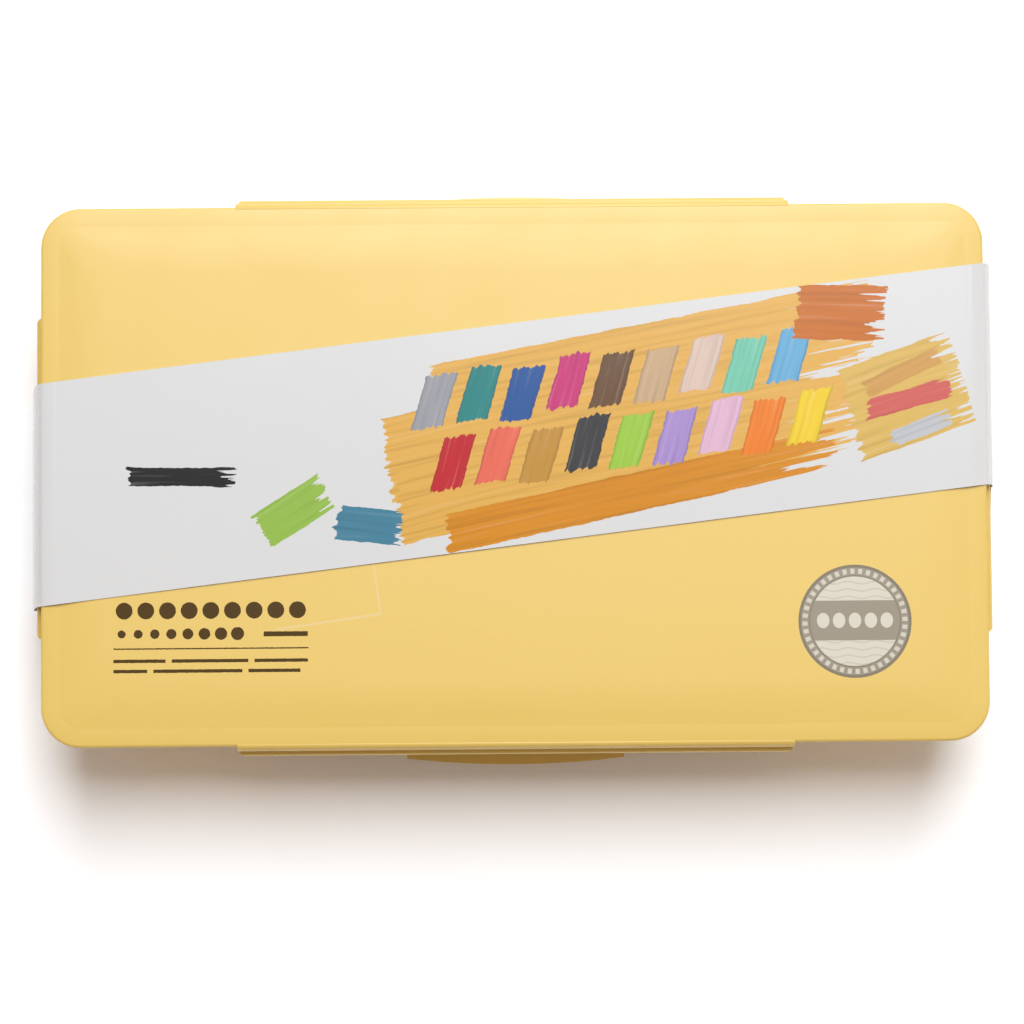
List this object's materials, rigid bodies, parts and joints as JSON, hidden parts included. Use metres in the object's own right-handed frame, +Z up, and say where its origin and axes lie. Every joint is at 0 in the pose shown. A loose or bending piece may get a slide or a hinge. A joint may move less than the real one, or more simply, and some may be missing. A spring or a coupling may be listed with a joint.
{
  "type": "gouache paint set box",
  "caption": "Flat plastic case with lock flaps on all four sides, a hinged lid, sealed paint cups, a brush trough, a mixing palette and a paper band.",
  "frame": {"origin": "bottom centre of the bounding box, on the surface that the case stands on", "axes": "+X along the case towards its right end, +Y towards its back, +Z up"},
  "size_m": [0.3244, 0.192, 0.052],
  "materials": {
    "case": "satin moulded",
    "palette": "smooth",
    "seal": "soft matt",
    "band": "smooth coated",
    "film": "clear film",
    "cup": "milky translucent",
    "paint_01": "wet gel paint",
    "paint_02": "wet gel paint",
    "paint_03": "wet gel paint",
    "paint_04": "wet gel paint",
    "paint_05": "wet gel paint",
    "paint_06": "wet gel paint",
    "paint_07": "wet gel paint",
    "paint_08": "wet gel paint",
    "paint_09": "wet gel paint",
    "paint_10": "wet gel paint",
    "paint_11": "wet gel paint",
    "paint_12": "wet gel paint",
    "paint_13": "wet gel paint",
    "paint_14": "wet gel paint",
    "paint_15": "wet gel paint",
    "paint_16": "wet gel paint",
    "paint_17": "wet gel paint",
    "paint_18": "wet gel paint"
  },
  "bodies": {
    "base": {"base_tub": "case", "cup_tray": "case", "back_flap": "case", "films_back": "film", "films_middle": "film", "films_front": "film", "cup_01": "cup", "cup_02": "cup", "cup_03": "cup", "cup_04": "cup", "cup_05": "cup", "cup_06": "cup", "cup_07": "cup", "cup_08": "cup", "cup_09": "cup", "cup_10": "cup", "cup_11": "cup", "cup_12": "cup", "cup_13": "cup", "cup_14": "cup", "cup_15": "cup", "cup_16": "cup", "cup_17": "cup", "cup_18": "cup", "paint_01": "paint_01", "paint_02": "paint_02", "paint_03": "paint_03", "paint_04": "paint_04", "paint_05": "paint_05", "paint_06": "paint_06", "paint_07": "paint_07", "paint_08": "paint_08", "paint_09": "paint_09", "paint_10": "paint_10", "paint_11": "paint_11", "paint_12": "paint_12", "paint_13": "paint_13", "paint_14": "paint_14", "paint_15": "paint_15", "paint_16": "paint_16", "paint_17": "paint_17", "paint_18": "paint_18"},
    "lid": {"lid_shell": "case", "lid_seal": "seal", "palette": "palette"},
    "front_flap": {"front_flap": "case"},
    "left_flap": {"left_flap": "case"},
    "right_flap": {"right_flap": "case"},
    "band": {"paper_band": "band"}
  },
  "joints": [
    {"name": "lid_swing", "type": "hinge", "parent": "base", "child": "lid", "pos_m": [0, 0.0898, 0.044], "axis": [-1, 0, 0], "range_deg": [0, 110], "deforming": ["paper_band"]},
    {"name": "front_flap_fold", "type": "hinge", "parent": "lid", "child": "front_flap", "pos_m": [0, -0.0898, 0.044], "axis": [-1, 0, 0], "range_deg": [0, 110]},
    {"name": "left_flap_fold", "type": "hinge", "parent": "lid", "child": "left_flap", "pos_m": [-0.1554, 0, 0.044], "axis": [0, 1, 0], "range_deg": [0, 110]},
    {"name": "right_flap_fold", "type": "hinge", "parent": "lid", "child": "right_flap", "pos_m": [0.1554, 0, 0.044], "axis": [0, -1, 0], "range_deg": [0, 110]},
    {"name": "band_slide", "type": "slide", "parent": "base", "child": "band", "axis": [0, -1, 0], "range_m": [0, 0.2]}
  ],
  "couplings": [
    {"joint": "left_flap_fold", "follows": "lid_swing", "ratio": 1},
    {"joint": "right_flap_fold", "follows": "lid_swing", "ratio": 1}
  ]
}
